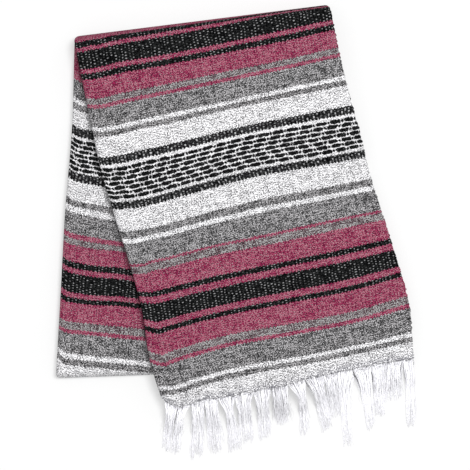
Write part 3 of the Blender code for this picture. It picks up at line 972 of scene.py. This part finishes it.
def hidden_sheets(name, table, base, curl, start, has_hem, curl_first, ceiling, down_of, seed,
                  material):
    """The sheets of a leg under its outer one, which press into its end fold and ride on its base."""
    heights, (left_in, right_in, hem_in) = fine_profile()
    sheet_number = np.searchsorted(SLITS, heights)
    depth = curl - CLOTH - 2 * SEAM
    rows = fold_rows(table, curl, HIDDEN_SPACING, HIDDEN_CURL_ROWS)
    rows = np.concatenate(([start], rows[rows > start + 0.2 * MM]))
    left, across, width = rows_of(table, rows, curl_first)
    squeeze = 1 - step_between(curl, curl + depth, rows)
    pressed = ceiling * rounding(rows - (curl - depth), depth) - 2 * SEAM * squeeze
    points = np.zeros((len(rows), len(HIDDEN_SHARES), len(heights), 3))
    for k, height in enumerate(heights):
        number = sheet_number[k]
        loose = LOOSE * wander(rows, seed + 3 * number, LOOSE_WAVES[0])
        inset = step_between(0, 1, wander(rows, seed + 40 + number, LOOSE_WAVES[1]))
        loose = loose + LOOSE * inset
        first_in = left_in[k] * MM + squeeze * SQUEEZE_IN
        last_in = right_in[k] * MM + squeeze * SQUEEZE_IN / 2 + np.abs(loose)
        first_in, last_in = first_in[:, None], last_in[:, None]
        inward = first_in + HIDDEN_SHARES * (width - first_in - last_in)
        plan = left + across * inward[..., None]
        if has_hem:
            edge = HIDDEN_SHARES * hem_length
            hang = hem_out(HIDDEN_SHARES, float(height < BETWEEN_RIBBONS)) - hem_in[k] * MM
            hang = hang + LOOSE * wander(edge, seed + 70 + number, LOOSE_WAVES[2])
            plan = hang_hem(plan, rows, hang)
        bottom = base(plan)
        top = bottom + heights[-1] * MM
        limit = np.maximum(np.minimum(pressed[:, None], top), bottom + RIBBON / 4)
        points[:, :, k, :2] = plan
        points[:, :, k, 2] = bottom + height * MM * (limit - bottom) / (top - bottom)
    return box_of_grids(name, points, sheet_number, down_of, seed, material)


def box_of_grids(name, points, sheet_number, down_of, seed, material):
    """Closes a block of points into a body of six faces, with shared points along its edges. Each
    sheet's stripes are moved a little, as folding never brings them quite together."""
    rows, columns, levels = points.shape[:3]
    number = np.arange(rows * columns * levels).reshape(rows, columns, levels)
    quads = []
    for grid, flip in (
        (number[:, :, -1], False), (number[:, :, 0], True),
        (number[:, 0, :], False), (number[:, -1, :], True),
        (number[0, :, :], True), (number[-1, :, :], False),
    ):
        faces = grid_quads(grid)
        quads.append(faces[:, (0, 3, 2, 1)] if flip else faces)
    used, quads = np.unique(np.concatenate(quads), return_inverse=True)
    flat = points.reshape(-1, 3)[used]
    luck = np.random.default_rng(seed).uniform(-5, 5, sheet_number.max() + 1)
    sheet = np.tile(sheet_number, rows * columns)[used]
    inside = np.tile(np.repeat(np.arange(columns), levels), rows)[used] * 7.0
    down = down_of(flat[:, :2], np.full(len(flat), 60.0)) + luck[sheet]
    place = np.stack((inside + flat[:, 2] / MM * 1.4, down, 5.0 + sheet), axis=1)
    return make_mesh(name, flat, quads.reshape(-1, 4), material, cloth_place=place)


front_layers = hidden_sheets(
    "serape_front_layers", FRONT_LEG, under_front, TOP_FOLD, 6.5 * MM, True, True,
    2 * LEG - CLOTH, front_down, 100, front_cloth)
back_layers = hidden_sheets(
    "serape_back_layers", BACK_LEG, on_table, END_FOLD, 3.6 * MM, False, False,
    LEG - CLOTH - SEAM, back_down, 200, back_cloth)

# %% [markdown]
# The fringe is the warp itself, left long and drawn into loose tassels. The thin white yarns
# leave the hem side by side like a curtain, draw together into tassels, part into a few locks
# and lie down on the table. A tassel could be one tapered body with bump for its yarns, but its
# outline would be too clean. So each yarn is a thin three-sided tube on a path of its own, and
# all the tubes of a hem are one mesh. A few thin hairs stray from each tassel, and the first
# millimetres of the yarns carry dark grey specks.

# %% Fringe yarns
TASSELS = (
    # hem_share, waist_lean, waist, tip_lean, tip, reach, in millimetres but for the share
    (0.038, -1, 10, -6, 10, 60),
    (0.078, -2, 9, -7, 10, 60),
    (0.142, 1, 13, 0, 16, 71),
    (0.190, 3, 15, 8, 20, 70),
    (0.246, 7, 7, 14, 13, 70),
    (0.326, 1, 16, 5, 16, 64),
    (0.392, 3, 14, 6, 15, 65),
    (0.470, 1, 18, 4, 20, 50),
    (0.530, 9, 8, 13, 9, 68),
    (0.606, 7, 13, 17, 12, 68),
    (0.672, 3, 17, 8, 18, 56),
    (0.722, 3, 13, 7, 8, 97),
    (0.800, 5, 15, 12, 11, 79),
    (0.862, 2, 15, 4, 11, 69),
    (0.926, 0, 20, 0, 22, 50),
    (0.986, 2, 10, 3, 10, 84),
)
YARNS_A_TASSEL, STRAYS_A_TASSEL, LOCKS = 40, 5, 5
YARN_STEPS, YARN_SIDES = 16, 3
YARN_THICK, STRAY_THICK = 1.5 * MM, 0.4 * MM
WAIST_AT = 0.36
STRAND_LEAD, STRAND_FALL = 6.0 * MM, 44.0 * MM
ROOT_INSIDE, ROOT_HEIGHTS = 1.5 * MM, (2.2, 3.0)
LOCK_DRIFT, LOCK_SHORTER, YARN_SHORTER = 1.6, 0.10, 0.22
WAIST_LUCK, TIP_LUCK, THICK_LUCK = (0.7, 1.1), (0.7, 1.2), (0.75, 1.1)
STRAY_SPREAD, STRAY_LOOSE, YARN_LOOSE = 1.25, 2.2 * MM, 0.8 * MM
LOOSE_ACROSS, LOOSE_ALONG, PILE = 34 * MM, 20 * MM, (0.45, 2.1, 0.55)
TIP_THIN, TABLE_GAP = 0.35, 0.1 * MM

tassel_shares = [tassel[0] for tassel in TASSELS]
root_ends = [0.012] + [(a + b) / 2 for a, b in zip(tassel_shares, tassel_shares[1:])] + [0.996]


def hem_point(share, out):
    return hem_left + (hem_right - hem_left) * share + hem_down * out


def tassel_paths(number, foot_height, lower, luck):
    """The middle line of every yarn of one tassel, from the hem to its tip, and its thickness."""
    share, waist_lean, waist, tip_lean, tip, reach = TASSELS[number]
    first, last = root_ends[number], root_ends[number + 1]
    middle_x = hem_point(share, 0.0)[0]
    t = np.linspace(0, 1, YARN_STEPS + 1)
    lock_drift = luck.uniform(-LOCK_DRIFT, LOCK_DRIFT, LOCKS)
    lock_short = luck.uniform(0.0, LOCK_SHORTER, LOCKS)
    paths, thick = [], []
    for yarn in range(YARNS_A_TASSEL + STRAYS_A_TASSEL):
        stray = yarn >= YARNS_A_TASSEL
        order = luck.uniform(0.0, 1.0)
        if not stray:
            order = (yarn + order) / YARNS_A_TASSEL
        root_share = first + (last - first) * order
        place = (2 * order - 1) * (STRAY_SPREAD if stray else 1.0)
        lock = int(np.clip((place + 1) / 2 * LOCKS, 0, LOCKS - 1))
        level = luck.uniform(0.0, 1.0)
        root = hem_point(root_share, hem_out(root_share, lower) - ROOT_INSIDE)
        rest = under_front(root) + foot_height + (ROOT_HEIGHTS[0] + ROOT_HEIGHTS[1] * level) * MM
        length = reach * (1 - lock_short[lock] - YARN_SHORTER * luck.uniform(0.0, 1.0) ** 2) * MM
        end_y = hem_point(root_share, hem_out(root_share, 0.0))[1] - length
        waist_x = middle_x + (waist_lean + place * waist / 2 * luck.uniform(*WAIST_LUCK)) * MM
        tip_out = tip_lean + place * tip / 2 * luck.uniform(*TIP_LUCK) + lock_drift[lock]
        tip_x = middle_x + tip_out * MM
        x = root[0] + (waist_x - root[0]) * step_between(0.0, WAIST_AT, t)
        x = x + (tip_x - waist_x) * step_between(WAIST_AT * 0.5, 1.15, t)
        loose = (STRAY_LOOSE if stray else YARN_LOOSE) * np.minimum(t * 5, 1)
        x = x + loose * wander(t * length, luck.integers(1 << 30), LOOSE_ACROSS)
        y = root[1] + (end_y - root[1]) * t
        y = y + 0.5 * MM * wander(t * length, luck.integers(1 << 30), LOOSE_ALONG)
        heap = level * max(0.0, 1 - abs(place)) ** 0.5 * (1 - PILE[2] * t)
        pile = (PILE[0] + PILE[1] * heap) * MM
        z = rest + (pile - rest) * step_between(STRAND_LEAD, STRAND_FALL, length * t)
        paths.append(np.stack((x, y, z), axis=1))
        thick.append(STRAY_THICK if stray else YARN_THICK * luck.uniform(*THICK_LUCK))
    return paths, thick


def tubes(paths, thick, tip_share, sides=YARN_SIDES):
    """Thin tubes round these paths: their points, their quads and the number of each point's tube."""
    points, quads, numbers = [], [], []
    count = 0
    for number, path in enumerate(paths):
        steps = len(path)
        ahead = np.gradient(path, axis=0)
        ahead /= np.linalg.norm(ahead, axis=1, keepdims=True) + 1e-12
        side = np.cross((0.0, 0.0, 1.0), ahead)
        side /= np.linalg.norm(side, axis=1, keepdims=True) + 1e-12
        up = np.cross(ahead, side)
        t = np.linspace(0, 1, steps)[:, None]
        radius = thick[number] / 2 * (1 + (tip_share - 1) * t**2)
        for a in range(sides):
            turn = 2 * math.pi * (a + 0.5 * (number % 2)) / sides
            points.append(path + radius * (side * math.cos(turn) + up * math.sin(turn)))
        index = count + np.arange(sides * steps).reshape(sides, steps)
        for a in range(sides):
            b = (a + 1) % sides
            quads.append(np.stack((index[a, :-1], index[b, :-1], index[b, 1:], index[a, 1:]), axis=1))
        numbers += [number] * (sides * steps)
        count += sides * steps
    return np.concatenate(points), np.concatenate(quads), np.array(numbers)


def yarn_mesh(name, paths, thick, material):
    """All the yarns of a hem. Each point knows its yarn and how far down the yarn it is."""
    points, quads, yarn = tubes(paths, thick, TIP_THIN)
    points[:, 2] = np.maximum(points[:, 2], TABLE_GAP)
    steps = [np.linalg.norm(np.diff(path, axis=0), axis=1) for path in paths]
    from_hem = [np.tile(np.append(0.0, np.cumsum(step)), YARN_SIDES) for step in steps]
    return make_mesh(name, points, quads, material, from_hem=np.concatenate(from_hem) / MM,
                     yarn_number=yarn)


def fringe_material():
    """White cotton warp with a cool tint, each yarn a little lighter or darker."""
    material, tree, shader = new_material("fringe yarn")
    number = attribute(tree, "yarn_number")["Fac"]
    luck = Number(add(tree, "ShaderNodeTexWhiteNoise", (None, number), noise_dimensions="1D")[0])
    spot = add(tree, "ShaderNodeTexCoord")["Object"]
    twist = noise(spot, 900.0)[0]
    yarn = use_group(tree, heather, Dark=(0.74, 0.735, 0.765, 1), Body=(0.875, 0.87, 0.905, 1),
                     Light=(0.91, 0.91, 0.925, 1), Shade=luck * 0.6 + twist * 0.4)["Color"]
    from_hem = Number(attribute(tree, "from_hem")["Fac"])
    # Painted shade: each yarn darkens toward its tip, from full colour at 15 mm to 88 % at 50 mm down
    # the yarn.
    yarn = dimmed(yarn, remap(from_hem, 15.0, 50.0, 1.0, 0.88))
    # Dark grey specks in the first 9 mm of the yarns from the hem.
    dark_specks = remap(noise(spot, 420.0)[0], 0.50, 0.60) * remap(from_hem, 9.0, 2.0)
    feed(shader["Base Color"], blend_colour(dark_specks, yarn, ROOT_GREY))
    for label, value in (("Roughness", 0.9), ("Specular IOR Level", 0.1), ("Sheen Weight", 0.1)):
        shader[label].default_value = value
    feed(shader["Normal"], bump(twist, 0.5, 0.2 * MM))
    return material


fringe_yarn = fringe_material()
fringe_pieces = []
for piece_name, foot_height, lower, seed in (
    ("serape_fringe_upper", RIBBON, 0.0, 11),
    ("serape_fringe_lower", 0.0, 1.0, 12),
):
    luck = np.random.default_rng(seed)
    paths, thick = [], []
    for number in range(len(TASSELS)):
        more_paths, more_thick = tassel_paths(number, foot_height, lower, luck)
        paths += more_paths
        thick += more_thick
    fringe_pieces.append(yarn_mesh(piece_name, paths, thick, fringe_yarn))
fringe_upper, fringe_lower = fringe_pieces

# %% [markdown]
# At the selvedge the weft turns back, and on a blanket of thick soft yarn those turns stand out
# as small uneven loops in the colour of their stripe. At the hem, a last pick of white yarn
# lies along the edge like a cord and keeps the cloth from running out into the fringe.

# %% Selvedge loops and hem cord
LOOP_LEVELS = 15.0, 11.4, 5.8, 1.2
LOOPS_A_LEVEL = 90
LOOP_THICK, HEM_CORD_THICK = 1.1 * MM, 1.5 * MM
HEM_CORD_STEPS = 260
LOOP_REACH, LOOP_WIDE, LOOP_INSET = (0.7, 2.0), (0.9, 1.7), (0.3, 1.0)
LOOPS_BETWEEN, LOOP_STEPS, LOOP_SAG = (0.06, 0.995), 7, 0.5 * MM
EDGE_LAYER = 21.0


def edge_tubes(name, paths, places, thick, material):
    """Tubes of yarn along an edge, each with its place in the cloth for the stripes."""
    points, quads, number = tubes(paths, np.full(len(paths), thick), 1.0, sides=4)
    across = number * WARP_SPACING + (points[:, 0] + MIDDLE_MOVED[0]) / MM
    place = np.stack((across, np.array(places)[number], np.full(len(number), EDGE_LAYER)), axis=1)
    return make_mesh(name, points, quads, material, cloth_place=place)


def hem_cord(name, material):
    share = np.linspace(0.006, 0.994, HEM_CORD_STEPS)
    out = hem_out(share, 0.0) + 0.5 * MM * wander(share * hem_length, 61, 9 * MM)
    plan = hem_point(share[:, None], out[:, None])
    height = under_front(plan) + LEG - 1.2 * MM + 0.4 * MM * wander(share * hem_length, 62, 15 * MM)
    path = raised(plan, height)
    place = front_down(plan[HEM_CORD_STEPS // 2], 150.0)
    return edge_tubes(name, [path], [place], HEM_CORD_THICK, material)


def selvedge_loops(name, seed, material):
    """Small turns of the weft on the front leg, at each level where a selvedge shows."""
    luck = np.random.default_rng(seed)
    turn = np.linspace(0, math.pi, LOOP_STEPS)
    paths, places = [], []
    for level in LOOP_LEVELS:
        for share in np.sort(luck.uniform(*LOOPS_BETWEEN, LOOPS_A_LEVEL)):
            left, right = edges(FRONT_LEG, np.array(share))
            across = (right - left) / np.linalg.norm(right - left)
            along = np.array((across[1], -across[0]))
            reach, wide, inset = (luck.uniform(*limits) * MM
                                  for limits in (LOOP_REACH, LOOP_WIDE, LOOP_INSET))
            plan = (right + across * (reach * np.sin(turn) - inset)[:, None]
                    + along * (wide * np.cos(turn))[:, None])
            height = under_front(right) + level * MM - LOOP_SAG * np.sin(turn)
            paths.append(raised(plan, height))
            places.append(front_down(right, 300.0))
    return edge_tubes(name, paths, places, LOOP_THICK, material)


front_loops = selvedge_loops("serape_selvedge_loops", 77, front_cloth)
front_hem_cord = hem_cord("serape_hem_cord", front_cloth)

# %% [markdown]
# Every piece rides on the one body of the folded blanket and stands for the solid that it
# dresses.

# %% Bind the pieces to the frame
for piece, node, finish in (
    (serape_front, "front_panel", "striped_cloth"),
    (serape_back, "back_panel", "striped_cloth"),
    (front_layers, "front_layers", "inner_cloth"),
    (back_layers, "back_layers", "inner_cloth"),
    (fringe_upper, "fringe_upper", "fringe_yarn"),
    (fringe_lower, "fringe_lower", "fringe_yarn"),
):
    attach(piece, "root")
    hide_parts(node)
for trim in (front_loops, front_hem_cord):
    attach(trim, "root")

# %% [markdown]
# Soft studio light, as for a picture on pure white: one large round lamp, high up and toward the
# upper right, and an even sky. The table is a white panel that glows a little from below, as a
# light table does, so the shadows beside the folds and between the tassels stay pale. A plain
# white table would need a much brighter sky, and that would flatten the weave.

# %% Table, lights and sky
TABLE_HALF = 3.0
TABLE_COLOUR = (0.32, 0.32, 0.32, 1.0)
TABLE_GLOW = 0.49
WHITE = (1.0, 1.0, 1.0, 1.0)
LAMP_AT, LAMP_SIZE, LAMP_POWER = (1.4, 1.2, 6.0), 2.6, 385.0
SKY_STRENGTH = 0.74

table_mesh = bpy.data.meshes.new("table_top")
signs = ((-1, -1), (1, -1), (1, 1), (-1, 1))
corners = [(x * TABLE_HALF, y * TABLE_HALF, 0) for x, y in signs]
table_mesh.from_pydata(corners, [], [(0, 1, 2, 3)])
table_top = bpy.data.objects.new("table_top", table_mesh)
scene.collection.objects.link(table_top)
table_paint, _, table_shader = new_material("white table")
for label, value in (
    ("Base Color", TABLE_COLOUR), ("Emission Color", WHITE), ("Emission Strength", TABLE_GLOW),
    ("Roughness", 0.8), ("Specular IOR Level", 0.1),
):
    table_shader[label].default_value = value
table_mesh.materials.append(table_paint)

lamp_light = bpy.data.lights.new("key_lamp", "AREA")
lamp_light.shape, lamp_light.size, lamp_light.energy = "DISK", LAMP_SIZE, LAMP_POWER
key_lamp = bpy.data.objects.new("key_lamp", lamp_light)
key_lamp.location = LAMP_AT
key_lamp.rotation_euler = (-key_lamp.location).to_track_quat("-Z", "Y").to_euler()
scene.collection.objects.link(key_lamp)

world = bpy.data.worlds.new("studio sky")
world.use_nodes = True
sky = world.node_tree.nodes["Background"].inputs
sky["Color"].default_value, sky["Strength"].default_value = WHITE, SKY_STRENGTH
scene.world = world
scene.view_settings.view_transform = "Standard"
